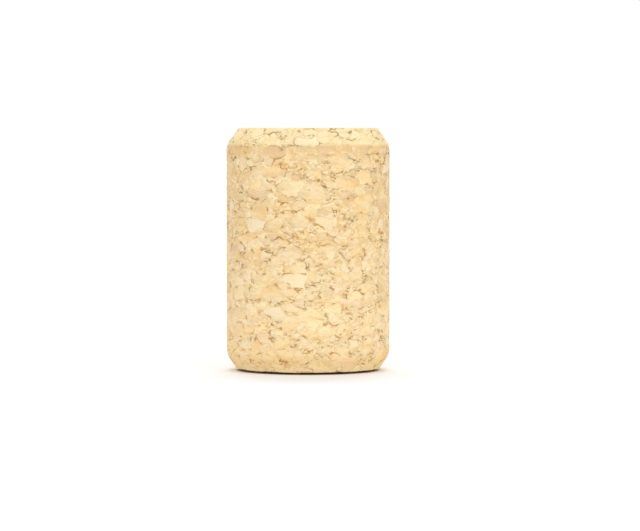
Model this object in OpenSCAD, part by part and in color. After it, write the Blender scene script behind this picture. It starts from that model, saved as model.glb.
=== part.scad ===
// Bottle stopper of agglomerated cork, ground to shape from one moulded rod.
// Frame: +Z up, origin at the middle of the base, millimetres.

/* [Body] */
// Diameter of the straight side, free of any bottle
body_d = 30; // [18:0.5:36]
// Height from the base to the top face
body_h = 44.5; // [25:0.5:60]

/* [Top bevel] */
// How far the top bevel comes in from the side
top_bevel_in = 2.3; // [1:0.1:3]
// How far the top bevel comes down from the top face
top_bevel_down = 3.1; // [2:0.1:5]

/* [Base] */
// How far the base bevel comes in from the side
base_bevel_in = 1.7; // [1:0.1:3]
// Height above the table at which the base bevel meets the side
base_bevel_up = 3; // [2:0.1:5]
// Width of the outer ring of the base, which lifts clear of the table
base_ring_w = 4; // [1:0.5:5]
// How far that ring has lifted at the rim
base_ring_lift = 0.4; // [0:0.05:0.5]

/* [Edges] */
// Radius of the shoulder, where a bevel runs out into the side
shoulder_r = 3.2; // [0.5:0.1:4]
// Radius of the rim, where a bevel meets an end face
rim_r = 0.5; // [0.2:0.05:1]

/* [Hidden] */
cork_colour = [0.95, 0.84, 0.64];
curve_fn = 96;

body_r = body_d / 2;
top_rim_r = body_r - top_bevel_in;
base_rim_r = body_r - base_bevel_in;

// The half section before its corners are eased, as points of [radius, height].
base_middle = [0, 0];
base_flat_edge = [base_rim_r - base_ring_w, 0];
base_rim = [base_rim_r, base_ring_lift];
base_shoulder = [body_r, base_bevel_up];
top_shoulder = [body_r, body_h - top_bevel_down];
top_rim = [top_rim_r, body_h];
top_middle = [0, body_h];

// Corners from the base up, each with its neighbours and its radius.
eased = [
    [base_flat_edge, base_rim, base_shoulder, rim_r],
    [base_rim, base_shoulder, top_shoulder, shoulder_r],
    [base_shoulder, top_shoulder, top_rim, shoulder_r],
    [top_shoulder, top_rim, top_middle, rim_r],
];

// Unit vector from one point to another.
function toward(from, to) = (to - from) / norm(to - from);

// Half of the angle inside a corner whose neighbours are before and after.
function half_angle(before, corner, after) =
    acos(toward(corner, before) * toward(corner, after)) / 2;

// The two points where a disc of radius r, pushed into the corner, touches its edges.
function touches(before, corner, after, r) =
    let (run = r / tan(half_angle(before, corner, after)))
    [corner + toward(corner, before) * run, corner + toward(corner, after) * run];

// The middle of that disc.
function disc_middle(before, corner, after, r) =
    let (inward = toward(corner, before) + toward(corner, after))
    corner + inward / norm(inward) * r / sin(half_angle(before, corner, after));

// Slice of that disc on the corner's side. It is twice as wide as the stretch between the two
// points of contact, so its straight sides end inside the section.
module corner_slice(before, corner, after, r) {
    middle = disc_middle(before, corner, after, r);
    contacts = touches(before, corner, after, r);
    aims = [2 * contacts[0] - corner, corner, 2 * contacts[1] - corner];
    intersection() {
        translate(middle)
            circle(r = r, $fn = curve_fn);
        polygon([middle, for (aim = aims) 2 * aim - middle]);
    }
}

// Half section: a polygon through the points of contact, rounded out by a slice at each corner.
module half_section() {
    polygon(concat(
        [base_middle, base_flat_edge],
        [for (c = eased) each touches(c[0], c[1], c[2], c[3])],
        [top_middle]
    ));
    for (c = eased)
        corner_slice(c[0], c[1], c[2], c[3]);
}

// The stopper, turned about its own axis.
module stopper() {
    color(cork_colour)
        rotate_extrude($fn = curve_fn)
            half_section();
}

stopper();
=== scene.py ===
# %% [markdown]
# # A cork stopper
#
# This lesson models one bottle stopper. It is ground to shape from a rod of cork granules that
# were pressed together with a binder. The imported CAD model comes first, because it fixes where
# the stopper stands and how large it is. Everything here is in metres, with the base on z = 0.

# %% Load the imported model
import math

import bmesh
import bpy
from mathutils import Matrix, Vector


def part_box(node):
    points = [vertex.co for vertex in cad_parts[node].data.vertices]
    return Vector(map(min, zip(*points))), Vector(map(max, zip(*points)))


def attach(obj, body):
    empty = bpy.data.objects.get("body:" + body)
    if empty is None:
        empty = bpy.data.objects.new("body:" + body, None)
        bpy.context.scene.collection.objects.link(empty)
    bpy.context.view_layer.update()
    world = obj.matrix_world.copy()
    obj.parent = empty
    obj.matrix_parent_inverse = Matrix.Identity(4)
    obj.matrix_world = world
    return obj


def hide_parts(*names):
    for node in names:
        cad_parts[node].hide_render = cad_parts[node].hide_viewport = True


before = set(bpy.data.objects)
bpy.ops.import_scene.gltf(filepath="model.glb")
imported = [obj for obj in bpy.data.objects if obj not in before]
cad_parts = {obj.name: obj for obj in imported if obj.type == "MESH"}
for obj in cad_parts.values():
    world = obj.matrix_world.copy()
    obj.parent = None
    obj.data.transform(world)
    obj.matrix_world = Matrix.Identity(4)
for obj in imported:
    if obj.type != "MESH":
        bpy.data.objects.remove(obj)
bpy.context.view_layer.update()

MM = 0.001
low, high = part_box("stopper")
RADIUS = (high.y - low.y) / 2
HEIGHT = high.z - low.z
print(f"The stopper is {2 * RADIUS / MM:.1f} mm across and {HEIGHT / MM:.1f} mm tall")

# %% [markdown]
# ## The outline
#
# A grinding wheel leaves a straight side, a long bevel at the top and a shorter one at the base.
# Where a bevel meets the side, the wheel rounds the shoulder over. Where it meets an end face,
# the rim stays crisper. A corner of radius r is cut back along both of its faces by the same run,
# which depends on the angle inside the corner, so one helper works it out for all four.

# %% Sizes of the outline
TOP_BEVEL_IN, TOP_BEVEL_DOWN = 2.3 * MM, 3.1 * MM
BASE_BEVEL_IN, BASE_BEVEL_UP = 1.7 * MM, 3.0 * MM
RING_WIDTH, RING_LIFT = 4.0 * MM, 0.4 * MM
SHOULDER_R, RIM_R = 3.2 * MM, 0.5 * MM
SHOULDER_CUTS, RIM_CUTS = 8, 5
SIDE_LOW, SIDE_HIGH = BASE_BEVEL_UP, HEIGHT - TOP_BEVEL_DOWN
TOP_RIM, BASE_RIM = RADIUS - TOP_BEVEL_IN, RADIUS - BASE_BEVEL_IN


def corner_run(radius, turn):
    """How far a corner of this radius reaches along its faces, where they turn by that angle."""
    return radius * math.tan(turn / 2)


top_lean = math.atan2(TOP_BEVEL_IN, TOP_BEVEL_DOWN)
base_lean = math.atan2(BASE_BEVEL_IN, BASE_BEVEL_UP - RING_LIFT)
ring_slope = math.atan2(RING_LIFT, RING_WIDTH)
print(f"Bevels lean {math.degrees(top_lean):.1f} and {math.degrees(base_lean):.1f} degrees")

# %% [markdown]
# ## Picking faces and edges
#
# Every edit-mode operator acts on what is selected. By hand you would click. In a script, each
# step deselects all and then picks faces or edges by their place or their normal.

# %% Selection helpers
CLOSE = 0.01 * MM


def pick(kind, wanted):
    """In edit mode, selects only the faces or edges for which wanted(item) is true."""
    bpy.ops.mesh.select_all(action="DESELECT")
    bpy.ops.mesh.select_mode(type=kind)
    mesh = bpy.context.object.data
    editable = bmesh.from_edit_mesh(mesh)
    editable.normal_update()
    found = [i for i in (editable.faces if kind == "FACE" else editable.edges) if wanted(i)]
    for item in found:
        item.select_set(True)
    bmesh.update_edit_mesh(mesh)
    return len(found)


def at_level(z):
    """True for an edge that lies at this height."""
    return lambda edge: all(abs(v.co.z - z) < CLOSE for v in edge.verts)


def longer_than(length):
    """True for an edge longer than this."""
    return lambda edge: edge.calc_length() > length


# %% [markdown]
# ## The turned body
#
# The body could be a revolved half section, but that leaves a pole of thin triangles on each end
# face. It starts as a cylinder with the straight side's size instead. Its two end faces are
# extruded and scaled in, which makes the bevels, and the four edge loops are bevelled round.

# %% Turn the body
AROUND = 640
LEVEL = 0.999
bpy.ops.object.select_all(action="DESELECT")
bpy.ops.mesh.primitive_cylinder_add(
    vertices=AROUND, radius=RADIUS, depth=SIDE_HIGH - SIDE_LOW,
    location=(0, 0, (SIDE_HIGH + SIDE_LOW) / 2), end_fill_type="NGON", calc_uvs=False,
)
body = bpy.context.object
body.name = body.data.name = "cork_body"
bpy.ops.object.transform_apply(location=True, rotation=True, scale=True)

bpy.ops.object.mode_set(mode="EDIT")
for facing, rise, new_radius in (
    (1, TOP_BEVEL_DOWN, TOP_RIM),
    (-1, RING_LIFT - BASE_BEVEL_UP, BASE_RIM),
    (-1, -RING_LIFT, BASE_RIM - RING_WIDTH),
):
    pick("FACE", lambda face: face.normal.z * facing > LEVEL)
    old_radius = max(v.co.x for v in bmesh.from_edit_mesh(body.data).verts if v.select)
    bpy.ops.mesh.extrude_region_move(TRANSFORM_OT_translate={"value": (0, 0, rise)})
    shrink = new_radius / old_radius
    bpy.ops.transform.resize(value=(shrink, shrink, 1), center_override=(0, 0, 0))

for z, run, cuts in (
    (SIDE_HIGH, corner_run(SHOULDER_R, top_lean), SHOULDER_CUTS),
    (SIDE_LOW, corner_run(SHOULDER_R, base_lean), SHOULDER_CUTS),
    (HEIGHT, corner_run(RIM_R, math.pi / 2 - top_lean), RIM_CUTS),
    (RING_LIFT, corner_run(RIM_R, math.pi / 2 - base_lean - ring_slope), RIM_CUTS),
):
    pick("EDGE", at_level(z))
    bpy.ops.mesh.bevel(offset=run, offset_type="OFFSET", segments=cuts, profile=0.5, affect="EDGES")
print(f"The outline has {len(bmesh.from_edit_mesh(body.data).faces)} faces")

# %% [markdown]
# ## A fine, even skin
#
# The cork's seams and pits are only tenths of a millimetre wide, and they are to be real dents.
# So the long faces are cut into rows, and each end face becomes a grid of small squares. Every
# square is then about 0.15 mm across.

# %% Divide the skin
ROW_CUTS = 15
for shortest in (20 * MM, 1.5 * MM):
    pick("EDGE", longer_than(shortest))
    bpy.ops.mesh.subdivide(number_cuts=ROW_CUTS)

pick("FACE", lambda face: len(face.verts) > 4)
bpy.ops.mesh.delete(type="ONLY_FACE")
for z in (HEIGHT, 0):
    at_rim = at_level(z)
    pick("EDGE", lambda edge: edge.is_boundary and at_rim(edge))
    bpy.ops.mesh.fill_grid(span=AROUND // 4, offset=0)

bpy.ops.mesh.select_all(action="SELECT")
bpy.ops.mesh.normals_make_consistent(inside=False)
bpy.ops.object.mode_set(mode="OBJECT")
bpy.ops.object.shade_smooth()
print(f"The skin has {len(body.data.polygons)} squares")

# %% [markdown]
# ## Helpers for node trees
#
# The same pattern of granules is needed twice. Geometry nodes use it to press the dents, and the
# material uses it to colour them. Most texture and math nodes work in both kinds of tree, so one
# function can build the pattern in either, and the colours then fall exactly on the dents.

# %% Node helpers
def feed(tree, value, socket):
    """Links another node's output to a socket, or sets the socket's own value."""
    if isinstance(value, bpy.types.NodeSocket):
        tree.links.new(value, socket)
    else:
        socket.default_value = value


def add(tree, kind, inputs=None, **settings):
    """Adds one node with these settings and inputs."""
    made = tree.nodes.new(kind)
    for name, value in settings.items():
        setattr(made, name, value)
    for name, value in (inputs or {}).items():
        feed(tree, value, made.inputs[name])
    return made


def calc(tree, operation, *values):
    """One math node."""
    return add(tree, "ShaderNodeMath", dict(enumerate(values)), operation=operation).outputs[0]


def calc_vector(tree, operation, *values):
    """One vector math node."""
    made = add(tree, "ShaderNodeVectorMath", dict(enumerate(values)), operation=operation)
    return made.outputs[0]


def stretch(tree, vector, factor):
    """A vector made this many times as long."""
    made = add(tree, "ShaderNodeVectorMath", {0: vector, "Scale": factor}, operation="SCALE")
    return made.outputs[0]


def dot(tree, first, second):
    """How far one vector runs along another."""
    made = add(tree, "ShaderNodeVectorMath", {0: first, 1: second}, operation="DOT_PRODUCT")
    return made.outputs["Value"]


def parts(tree, vector):
    """The three numbers in a vector."""
    return list(add(tree, "ShaderNodeSeparateXYZ", {0: vector}).outputs)


def ease(tree, value, start, end, low=0.0, high=1.0):
    """Goes smoothly from low to high as value goes from start to end."""
    ends = {"Value": value, "From Min": start, "From Max": end, "To Min": low, "To Max": high}
    return add(tree, "ShaderNodeMapRange", ends, interpolation_type="SMOOTHSTEP").outputs[0]


def choose(tree, share, first, second):
    """Mixes two numbers: share 0 gives the first, 1 the second."""
    made = add(tree, "ShaderNodeMix", {0: share, 2: first, 3: second}, data_type="FLOAT")
    return made.outputs[0]


def choose_vector(tree, share, first, second):
    """Mixes two vectors."""
    made = add(tree, "ShaderNodeMix", {0: share, 4: first, 5: second}, data_type="VECTOR")
    return made.outputs[1]


def noise(tree, place, size, detail=2.0, colour=False):
    """Cloudy noise with lumps of this size in millimetres."""
    made = add(tree, "ShaderNodeTexNoise", {"Vector": place, "Scale": 1 / size, "Detail": detail})
    return made.outputs["Color" if colour else "Fac"]


def cells(tree, place, size):
    """Random cells of this size in millimetres: the way to the edge, and a random colour each."""
    ends = {"Vector": place, "Scale": 1 / size}
    edge = add(tree, "ShaderNodeTexVoronoi", ends, feature="DISTANCE_TO_EDGE")
    inner = add(tree, "ShaderNodeTexVoronoi", ends, feature="F1")
    chances = add(tree, "ShaderNodeSeparateXYZ", {0: inner.outputs["Color"]})
    return {
        "edge": calc(tree, "MULTIPLY", edge.outputs["Distance"], size),
        "middle": calc(tree, "MULTIPLY", inner.outputs["Distance"], size),
        "colour": inner.outputs["Color"],
        "centre": inner.outputs["Position"],
        "chance": list(chances.outputs),
    }


# %% [markdown]
# ## The granules
#
# Real granules are crushed bark, sieved and pressed along the rod. They are wider than tall, with
# ragged edges, and small crumbs fill the room between large ones. Voronoi cells in three sizes
# give that: some large cells stay whole, others are split into middling ones, and some of those
# into crumbs. Because the cells are solid, the pattern runs on over the bevels as in a real cut.

# %% Granules in three sizes
LARGE, MIDDLING, CRUMB = 3.6, 2.1, 0.9
LARGE_WHOLE, MIDDLING_WHOLE = 0.3, 0.55


def sort_granules(tree, ragged):
    """The granule that a place is in: the way to its edge, its centre and its random colour."""
    large, middling, crumb = (cells(tree, ragged, size) for size in (LARGE, MIDDLING, CRUMB))
    split = calc(tree, "GREATER_THAN", large["chance"][0], LARGE_WHOLE)
    crushed = calc(tree, "GREATER_THAN", middling["chance"][0], MIDDLING_WHOLE)
    found = {name: large[name] for name in ("edge", "colour", "centre")}
    for share, smaller in ((split, middling), (calc(tree, "MULTIPLY", split, crushed), crumb)):
        nearest = calc(tree, "MINIMUM", found["edge"], smaller["edge"])
        found["edge"] = choose(tree, share, found["edge"], nearest)
        for name in ("colour", "centre"):
            found[name] = choose_vector(tree, share, found[name], smaller[name])
    return found


# %% [markdown]
# ## Ragged edges
#
# Plain Voronoi cells have straight sides, and crushed bark has not. Looking each place up a little
# to one side, by a cloudy amount, makes the same cells ragged. The place is measured in
# millimetres first, and stretched along the rod, which makes the granules flat.

# %% Ragged edges
FLATTENED = (1060, 1060, 1620)
HALF = (0.5, 0.5, 0.5)


def sway_place(tree, flat):
    """A place moved about by a cloudy amount, mostly under a millimetre."""
    sway = calc_vector(tree, "SUBTRACT", noise(tree, flat, 2.0, 1.4, colour=True), HALF)
    return calc_vector(tree, "MULTIPLY_ADD", sway, (2.3, 2.3, 2.3), flat)


# %% [markdown]
# ## How a granule lies
#
# The binder never fills every gap. A granule that lies a little tilted has one side sunk below its
# neighbour, and the gap there is pressed in and painted as a dark crescent of shade. So each
# granule gets a random way down, mostly upright because the rod is pressed lengthwise, and its gap
# opens only on that side. The side across from the gap gets a painted highlight, as a raised lip
# would catch the light.

# %% Tilt, crevices and painted highlights
MOSTLY_UPRIGHT = (1.0, 1.0, 2.0)


def way_down(tree, luck):
    """The way in which a granule is sunk, from its own random colour."""
    spread = calc_vector(tree, "SUBTRACT", luck, HALF)
    spread = calc_vector(tree, "MULTIPLY", spread, MOSTLY_UPRIGHT)
    return calc_vector(tree, "NORMALIZE", spread)


def open_gaps(tree, flat, edge, facing):
    """The crevice on a granule's sunk side, where the binder left one, and the painted highlight
    across.
    """
    gaping = ease(tree, noise(tree, flat, 2.2, 1.0), 0.44, 0.58)
    width = calc(tree, "MULTIPLY", noise(tree, flat, 0.7, 0.0), 0.55)
    inside = ease(tree, edge, 0.06, width, 1.0, 0.0)
    sunk_side = ease(tree, facing, 0.3, 0.7)
    crevice = calc(tree, "MULTIPLY", inside, calc(tree, "MULTIPLY", gaping, sunk_side))
    # Painted highlight on the side across from the gap, as a lip would catch the light.
    near_edge = ease(tree, edge, 0.08, 0.3, 1.0, 0.0)
    return crevice, calc(tree, "MULTIPLY", near_edge, ease(tree, facing, -0.2, -0.8))


# %% [markdown]
# ## Flecks, pits and growth layers
#
# Flecks are thin streaks of darker bark, in patches. Pits are the pores of the bark, cut across,
# and only a few places have one. The tree lays cork down in thin yearly layers, and since every
# granule is a scrap of its own, its layers run its own way.

# %% Flecks, pits and growth layers
PITTED = 0.16


def bark_flecks(tree, flat, streaky):
    """Thin dark streaks, in patches."""
    fleck = ease(tree, noise(tree, streaky, 0.45, 1.0), 0.58, 0.70)
    return calc(tree, "MULTIPLY", fleck, ease(tree, noise(tree, flat, 1.7, 1.0), 0.42, 0.58))


def pores(tree, ragged):
    """Small round pits of uneven size, in a few of the places that could have one."""
    specks = cells(tree, ragged, 1.7)
    speck_r = calc(tree, "MULTIPLY_ADD", specks["chance"][1], 0.14, 0.12)
    speck = ease(tree, specks["middle"], calc(tree, "MULTIPLY", speck_r, 0.5), speck_r, 1.0, 0.0)
    return calc(tree, "MULTIPLY", speck, calc(tree, "LESS_THAN", specks["chance"][0], PITTED))


def growth_layers(tree, granule, from_centre, across_layers):
    """Light and dark layers that run their own way in each granule."""
    elsewhere = calc_vector(tree, "MULTIPLY_ADD", granule["colour"], (90, 90, 90), across_layers)
    return noise(tree, calc_vector(tree, "MULTIPLY_ADD", from_centre, HALF, elsewhere), 1.0, 1.0)


# %% The whole pattern
def granule_pattern(tree, place):
    """Everything that the dents and the colours need to know about the cork at a place."""
    flat = calc_vector(tree, "MULTIPLY", place, FLATTENED)
    streaky = calc_vector(tree, "MULTIPLY", flat, (1.0, 1.0, 1.3))
    ragged = sway_place(tree, flat)
    granule = sort_granules(tree, ragged)
    luck = add(tree, "ShaderNodeTexWhiteNoise", {"Vector": granule["colour"]})

    downhill = way_down(tree, luck.outputs["Color"])
    from_centre = calc_vector(tree, "SUBTRACT", ragged, granule["centre"])
    down = dot(tree, from_centre, downhill)
    facing = dot(tree, calc_vector(tree, "NORMALIZE", from_centre), downhill)
    crevice, painted_highlight = open_gaps(tree, flat, granule["edge"], facing)
    return {
        "flat": flat,
        "streaky": streaky,
        "chance": parts(tree, granule["colour"]),
        "warmth": luck.outputs["Value"],
        "downhill": down,
        "layers": growth_layers(tree, granule, from_centre, stretch(tree, downhill, down)),
        "seam": ease(tree, granule["edge"], 0.0, 0.2, 1.0, 0.0),
        "crevice": crevice,
        "painted_highlight": painted_highlight,
        "fleck": bark_flecks(tree, flat, streaky),
        "pit": pores(tree, ragged),
    }


# %% [markdown]
# ## Pressing the dents
#
# Cork granules spring back by slightly different amounts after grinding, so each stands a few
# hundredths of a millimetre higher or lower. Seams are shallow grooves, and where the binder left
# a gap there is a deep narrow crevice. A geometry nodes modifier moves the skin in along its
# normals. It only ever goes inwards, so the stopper keeps the diameter it was ground to.

# %% Press the dents
relief = bpy.data.node_groups.new("cork_relief", "GeometryNodeTree")
relief.interface.new_socket("Geometry", in_out="INPUT", socket_type="NodeSocketGeometry")
relief.interface.new_socket("Geometry", in_out="OUTPUT", socket_type="NodeSocketGeometry")
cork = granule_pattern(relief, add(relief, "GeometryNodeInputPosition").outputs[0])

LEAST = 0.015
DEEPEST = {"seam": 0.04, "crevice": 0.26, "fleck": 0.06, "pit": 0.28}
tilt = calc(relief, "MULTIPLY_ADD", cork["downhill"], 0.025, LEAST)
uneven = calc(relief, "MAXIMUM", calc(relief, "MULTIPLY_ADD", cork["chance"][2], 0.06, -0.02), 0.0)
depth = calc(relief, "ADD", uneven, calc(relief, "MAXIMUM", tilt, LEAST))
for part, most in DEEPEST.items():
    depth = calc(relief, "MULTIPLY_ADD", cork[part], most, depth)

outwards = add(relief, "GeometryNodeInputNormal").outputs[0]
shift = stretch(relief, stretch(relief, outwards, -MM), depth)
taken = add(relief, "NodeGroupInput").outputs[0]
pressed = add(relief, "GeometryNodeSetPosition", {"Geometry": taken, "Offset": shift})
add(relief, "NodeGroupOutput", {0: pressed.outputs[0]})

bpy.context.view_layer.objects.active = body
dents = body.modifiers.new("dents", "NODES")
dents.node_group = relief
bpy.ops.object.modifier_apply(modifier=dents.name)
print("The dents are pressed in")

# %% [markdown]
# ## Fewer triangles where nothing happens
#
# The granules' own faces are nearly flat and need few triangles. Decimate merges those and keeps
# the small ones along the crevices, so the file stays light and the dents stay sharp.

# %% Thin out the flat parts
MOST_TRIANGLES = 190_000
thin = body.modifiers.new("thin", "DECIMATE")
thin.ratio = MOST_TRIANGLES / (2 * len(body.data.polygons))
bpy.ops.object.modifier_apply(modifier=thin.name)
print(f"The body has {sum(len(p.vertices) - 2 for p in body.data.polygons)} triangles")

# %% [markdown]
# ## Unrolling the skin
#
# A file for other programs carries the cork's colours as a picture, so each place on the skin
# needs its own place in that picture. The stopper unrolls as a label would: the side and both
# bevels make one long strip, cut at the back, and the two end faces are discs below it. An
# automatic unwrap would cut this dented skin into thousands of scraps.

# %% Unroll the skin
STRIP_LEFT, STRIP_FOOT, STRIP_WIDE = 0.01, 0.36, 0.97
TOP_DISC, BASE_DISC, DISC_LEVEL = 0.25, 0.75, 0.175
UP_SCALE, OUT_SCALE = 0.0138 / MM, 0.0124 / MM


def way_up(out, z):
    """How far up the outline a place lies, along the bevels as along the straight side."""
    above, below, inset = z - SIDE_HIGH, SIDE_LOW - z, RADIUS - out
    up_top_bevel = above * math.cos(top_lean) + inset * math.sin(top_lean)
    down_base_bevel = below * math.cos(base_lean) + inset * math.sin(base_lean)
    if up_top_bevel + above > 0:
        return SIDE_HIGH + up_top_bevel
    if down_base_bevel + below > 0:
        return SIDE_LOW - down_base_bevel
    return z


def unrolled(corners):
    """Where the corners of one face lie in the picture."""
    centre = sum(corners, Vector()) / len(corners)
    for at_end, rim, across, turned in (
        (centre.z > HEIGHT - 1 * MM, TOP_RIM, TOP_DISC, 1),
        (centre.z < 1 * MM, BASE_RIM, BASE_DISC, -1),
    ):
        if at_end and centre.xy.length < rim:
            spots = [(turned * OUT_SCALE * c.x, OUT_SCALE * c.y) for c in corners]
            return [(across + x, DISC_LEVEL + y) for x, y in spots]
    turns = [math.atan2(c.x, -c.y) / math.tau + 0.5 for c in corners]
    if max(turns) - min(turns) > 0.5:
        turns = [turn if turn > 0.5 else turn + 1 for turn in turns]
    levels = [STRIP_FOOT + UP_SCALE * way_up(c.xy.length, c.z) for c in corners]
    return [(STRIP_LEFT + STRIP_WIDE * turn, level) for turn, level in zip(turns, levels)]


skin = body.data
picture_places = []
for face in skin.polygons:
    for place in unrolled([skin.vertices[v].co for v in face.vertices]):
        picture_places.extend(place)
skin.uv_layers.new(name="OFBake").uv.foreach_set("vector", picture_places)
print(f"The picture is used from {min(picture_places):.3f} to {max(picture_places):.3f}")

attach(body, "root")
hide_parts("stopper")

# %% [markdown]
# ## The cork's colours
#
# Cork granules come from many sheets of bark, so each has its own tone between cream and light
# tan. Most are creamy, some are nearer amber and a few are a little pink. A painted picture could
# give that, but colours worked out from the place on the skin stay sharp at any size, and they can
# use the same granules as the dents do.

# %% Colour helpers
def paint(red, green, blue):
    """A colour from a paint chart's 0 to 255 values, as the linear numbers that nodes take."""
    shares = (value / 255 for value in (red, green, blue))
    return (*(s / 12.92 if s <= 0.04045 else ((s + 0.055) / 1.055) ** 2.4 for s in shares), 1.0)


def tint(tree, share, under, over):
    """Lays the colour over on the colour under, as far as share says."""
    made = add(tree, "ShaderNodeMix", {0: share, 6: under, 7: over}, data_type="RGBA")
    return made.outputs[2]


def tone_ramp(tree, tone, *colours):
    """A ramp through these colours, evenly spaced from dark to light."""
    made = add(tree, "ShaderNodeValToRGB", {0: tone})
    stops = made.color_ramp.elements
    stops[0].color, stops[1].color = colours[0], colours[-1]
    for place, colour in enumerate(colours[1:-1], 1):
        stops.new(place / (len(colours) - 1)).color = colour
    return made.outputs[0]


# %% [markdown]
# ## Where light and shade are painted by height
#
# The top bevel and top face are painted paler and yellower, as light from above, and the top face
# is painted darker again, as shade, so that it does not clip. The side is painted lighter towards
# the bottom, as bounce from the table, and darker towards the top. A narrow band just under the top
# shoulder is darker. The base bevel is painted lighter, and its rim paler still, against the shade
# near the table. Height and the distance from the axis are enough to tell these places apart.

# %% Start the cork material
cork_finish = bpy.data.materials.new("pressed_cork")
cork_finish.use_nodes = True
tree = cork_finish.node_tree
tree.nodes.clear()
here = add(tree, "ShaderNodeTexCoord").outputs["Object"]
cork = granule_pattern(tree, here)

across, along, height_up = parts(tree, here)
along_squared = calc(tree, "MULTIPLY", along, along)
from_axis = calc(tree, "SQRT", calc(tree, "MULTIPLY_ADD", across, across, along_squared))

BLUR = 0.4 * MM
# Painted light from above: the top bevel and top face are paler, yellower and less pink.
painted_top_light = ease(tree, height_up, SIDE_HIGH - BLUR, SIDE_HIGH + BLUR)
# Painted shade: the top face is darker, so the light from above does not clip it.
painted_shade_end_face = calc(tree, "MULTIPLY", painted_top_light, ease(tree, from_axis, TOP_RIM, TOP_RIM - BLUR))
# Painted light: the side is lighter towards the bottom, as bounce from the table, and darker
# towards the top.
painted_bounce_gradient = ease(tree, height_up, HEIGHT * 0.1, HEIGHT * 0.75, 0.14, -0.2)
# A narrow band just under the top shoulder, darker and browner.
under_top = ease(tree, height_up, SIDE_HIGH - 3 * MM, SIDE_HIGH)
under_shoulder_band = calc(tree, "MULTIPLY", under_top, calc(tree, "SUBTRACT", 1.0, painted_top_light))
off_base_shoulder = calc(tree, "ABSOLUTE", calc(tree, "SUBTRACT", height_up, SIDE_LOW - 0.5 * MM))
over_base = ease(tree, off_base_shoulder, 0.2 * MM, 1.4 * MM, 1.0, 0.0)
outside = ease(tree, from_axis, BASE_RIM - 2 * BLUR, BASE_RIM - BLUR)
# Painted light: the base bevel is lighter and paler, against the shade near the table.
painted_light_base_bevel = calc(tree, "MULTIPLY", outside, ease(tree, height_up, 0.5 * MM, 2.2 * MM, 1.0, 0.0))
# Painted light: the rim of the base is paler still.
rim = calc(tree, "MULTIPLY", outside, ease(tree, height_up, 0.6 * MM, 1.1 * MM, 1.0, 0.0))

# %% [markdown]
# ## How light each place is
#
# One number, the tone, says how light a place is. It starts from the granule's own luck. Broad
# drifts, fine mottling and the thin layers of the tree's growth change it a little. Painted shade
# darkens each granule towards its sunk side. The top is painted lighter, as light from above, and
# its end face darker again. The side is painted lighter towards the bottom, as bounce from the
# table. The band under the shoulder is darker, and the base bevel is painted lighter.

# %% Tone of the cork
drift = calc(tree, "MULTIPLY_ADD", noise(tree, cork["flat"], 5.0, 1.0), 0.36, -0.18)
mottle = calc(tree, "MULTIPLY_ADD", noise(tree, cork["streaky"], 0.6, 3.0), 0.7, -0.35)
layers = calc(tree, "MULTIPLY_ADD", cork["layers"], 0.8, -0.4)
# Painted shade: each granule is darker towards its sunk side.
painted_tilt_shade = calc(tree, "MULTIPLY", cork["downhill"], -0.12)
tone = calc(tree, "MULTIPLY_ADD", cork["chance"][1], 0.33, 0.28)
for part in (drift, mottle, layers, painted_tilt_shade, choose(tree, painted_top_light, painted_bounce_gradient, 0.25)):
    tone = calc(tree, "ADD", tone, part)
for part, change in ((under_shoulder_band, -0.1), (painted_light_base_bevel, 0.4), (painted_shade_end_face, -0.4)):
    tone = calc(tree, "MULTIPLY_ADD", part, change, tone)

# %% Cream, amber and rose granules
cream = tone_ramp(
    tree, tone,
    paint(228, 199, 152), paint(240, 215, 169), paint(249, 227, 184), paint(255, 237, 196),
)
amber = tone_ramp(
    tree, tone,
    paint(237, 200, 141), paint(248, 215, 159), paint(255, 226, 173), paint(255, 234, 183),
)
rose = tone_ramp(
    tree, tone,
    paint(230, 195, 152), paint(241, 210, 169), paint(250, 222, 183), paint(255, 231, 194),
)
warmth = calc(tree, "MULTIPLY_ADD", noise(tree, cork["flat"], 3.4, 1.0), 1.8, -0.85)
warmth = calc(tree, "MULTIPLY_ADD", cork["warmth"], 0.4, warmth)
warmth = calc(tree, "ADD", warmth, ease(tree, height_up, HEIGHT * 0.4, HEIGHT * 0.1, 0.0, 0.2))
warmth = ease(tree, warmth, -0.1, 0.6)
blush = calc(tree, "MULTIPLY_ADD", noise(tree, cork["flat"], 4.0, 1.0), 0.8, -0.4)
blush = calc(tree, "ADD", calc(tree, "MULTIPLY_ADD", painted_top_light, -0.35, blush), cork["chance"][2])
colour = tint(tree, warmth, cream, amber)
colour = tint(tree, ease(tree, blush, 0.45, 1.0, 0.0, 0.8), colour, rose)

# %% [markdown]
# ## Marks over the colours
#
# The marks go on top like glazes, each with a colour and a share. A few granules are bleached.
# Seams are a faint ochre and come and go. Pits show the dark bark inside. Crevices are painted dark
# brown, as shade in the gap, and the side across from a crevice gets a painted highlight.

# %% Marks on the cork
bleached = ease(tree, cork["warmth"], 0.14, 0.02, 0.0, 0.45)
faint = ease(tree, noise(tree, cork["flat"], 1.2, 1.0), 0.3, 0.7, 0.1, 0.52)
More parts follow.
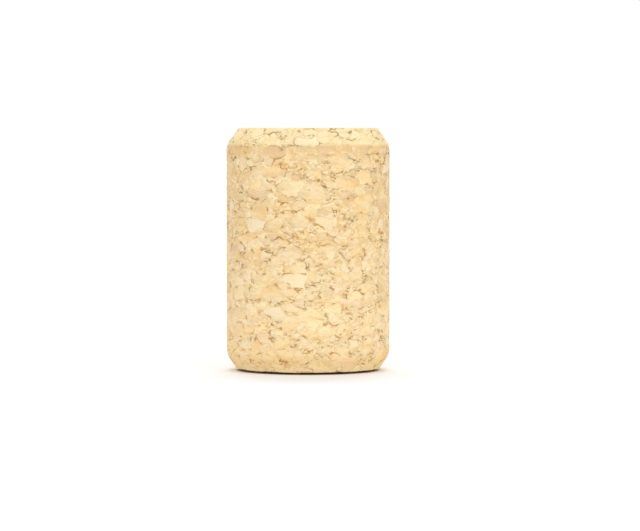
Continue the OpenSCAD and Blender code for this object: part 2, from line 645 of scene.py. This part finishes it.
# Painted shade: crevices are dark brown, as the shade in the gap.
crevice_shade_brown = tint(tree, warmth, paint(170, 143, 82), paint(192, 138, 70))
fleck_tan = tint(tree, warmth, paint(207, 176, 112), paint(216, 170, 100))
for share, most, glaze in (
    (bleached, 1.0, paint(254, 239, 202)),
    (under_shoulder_band, 0.3, paint(228, 189, 132)),
    (over_base, 0.3, paint(244, 198, 130)),
    # painted light on the base bevel
    (painted_light_base_bevel, 0.6, paint(255, 222, 163)),
    # painted light from above on the top
    (painted_top_light, 0.25, paint(246, 231, 180)),
    # painted highlight across from the crevice
    (cork["painted_highlight"], 0.6, paint(255, 240, 196)),
    (calc(tree, "MULTIPLY", cork["seam"], faint), 1.0, paint(220, 182, 116)),
    (cork["fleck"], 0.38, fleck_tan),
    # painted shade in the crevices
    (cork["crevice"], 0.8, crevice_shade_brown),
    (cork["pit"], 0.9, paint(146, 115, 60)),
    # painted light on the base rim
    (rim, 0.4, paint(255, 240, 212)),
):
    colour = tint(tree, calc(tree, "MULTIPLY", share, most), colour, glaze)

# %% [markdown]
# ## The cork's surface
#
# Cut cork is matt, with a faint sheen at most. The cut cells are far too small to model, so a bump
# raises the grain that the real dents leave out: mottling, growth layers and the seams' edges.

# %% Surface of the cork
grain_height = calc(tree, "MULTIPLY_ADD", cork["seam"], -0.3, mottle)
grain_height = calc(tree, "MULTIPLY_ADD", layers, 0.5, grain_height)
grain = add(
    tree, "ShaderNodeBump", {"Height": grain_height, "Strength": 0.6, "Distance": 0.06 * MM}
)
finish = add(
    tree, "ShaderNodeBsdfPrincipled",
    {
        "Base Color": colour, "Roughness": 0.85, "Specular IOR Level": 0.3,
        "Normal": grain.outputs[0],
    },
)
add(tree, "ShaderNodeOutputMaterial", {"Surface": finish.outputs[0]})
body.data.materials.clear()
body.data.materials.append(cork_finish)
print(f"The cork material has {len(tree.nodes)} nodes")

# %% [markdown]
# ## The table
#
# The stopper stands on a plain white table. A white surface needs no pattern, but light that gets
# under the lifted ring of the base has bounced off cork several times. So the table is painted
# brown and dark there, as shade, where an ambient occlusion node finds that narrow gap. Everywhere
# else the table is matt white, and it takes the stopper's shadow.

# %% Table
bpy.ops.object.select_all(action="DESELECT")
TABLE_WIDTH = 8
bpy.ops.mesh.primitive_plane_add(size=TABLE_WIDTH, location=(0, 0, 0))
table = bpy.context.object
table.name = table.data.name = "table_top"


def seen_directly(tree):
    """1 where the camera sees a surface itself, or in a mirror or through glass."""
    rays = add(tree, "ShaderNodeLightPath").outputs
    seen = calc(tree, "MAXIMUM", rays["Is Camera Ray"], rays["Is Glossy Ray"])
    return calc(tree, "MAXIMUM", seen, rays["Is Transmission Ray"])


table_finish = bpy.data.materials.new("white_table")
table_finish.use_nodes = True
tree = table_finish.node_tree
tree.nodes.clear()
# The gap colour is painted shade on the table, under the lifted ring.
GAP_SHADE_PAINT, SHOWN, LIT = (0.57, 0.41, 0.26, 1), (1.0, 1.0, 1.01, 1), (0.95, 0.95, 0.95, 1)
REACH = 1.2 * MM
openness = add(tree, "ShaderNodeAmbientOcclusion", {"Distance": REACH}, samples=16).outputs["AO"]
white = tint(tree, ease(tree, openness, 0.1, 0.5), GAP_SHADE_PAINT, SHOWN)
white = tint(tree, seen_directly(tree), LIT, white)
matt = add(tree, "ShaderNodeBsdfDiffuse", {"Color": white})
add(tree, "ShaderNodeOutputMaterial", {"Surface": matt.outputs[0]})
table.data.materials.append(table_finish)
print(f"The table is {TABLE_WIDTH} m wide")

# %% [markdown]
# ## The light
#
# A white room lights the stopper evenly from all round, which alone would leave it flat. A soft
# lamp in front models the granules, one behind throws the short shadow forward over the table, and
# a faint one above lifts the bevel. Their strengths together light a level surface just over 1, so
# the colours come out about as they are written.

# %% Room and lamps
SKY = 0.7
room = bpy.data.worlds.new("white_room")
bpy.context.scene.world = room
room.use_nodes = True
tree = room.node_tree
tree.nodes.clear()
strength = choose(tree, seen_directly(tree), SKY, 1.0)
glow = add(tree, "ShaderNodeBackground", {"Color": (1, 1, 1, 1), "Strength": strength})
add(tree, "ShaderNodeOutputWorld", {"Surface": glow.outputs[0]})


def soft_sun(name, azimuth, height, strength, spread):
    """A soft light from far away, azimuth degrees to the right of the front."""
    bpy.ops.object.light_add(
        type="SUN", location=(0, 0, 0.5),
        rotation=(math.radians(90 - height), 0, math.radians(azimuth)),
    )
    lamp = bpy.context.object
    lamp.name = lamp.data.name = name
    lamp.data.energy = strength * math.pi
    lamp.data.angle = math.radians(spread)
    return strength * math.sin(math.radians(height))


level = soft_sun("overhead", 0, 90, 0.04, 60)
level += soft_sun("front", 10, 30, 0.25, 60)
level += soft_sun("back", 180, 63, 0.26, 30)
print(f"The room and the lamps light the table to {SKY + level:.2f}")

# %% [markdown]
# ## The camera
#
# A long lens far away keeps the sides upright. The camera is level with the top face, so that
# face is seen edge on, and the base shows as a shallow curve.

# %% Camera
DISTANCE, EYE = 616 * MM, 45.0 * MM
LOOKS_DOWN, LOOKS_RIGHT = 2.398, 0.203
LENS = 188.7
bpy.ops.object.camera_add(
    location=(0, -DISTANCE, EYE),
    rotation=(math.radians(90 - LOOKS_DOWN), 0, math.radians(-LOOKS_RIGHT)),
)
camera = bpy.context.object
camera.data.lens = LENS
camera.data.sensor_width = 36
camera.data.clip_start = 0.01
bpy.context.scene.camera = camera
bpy.context.scene.view_settings.view_transform = "Standard"
print(f"The camera stands {DISTANCE / MM:.0f} mm away")
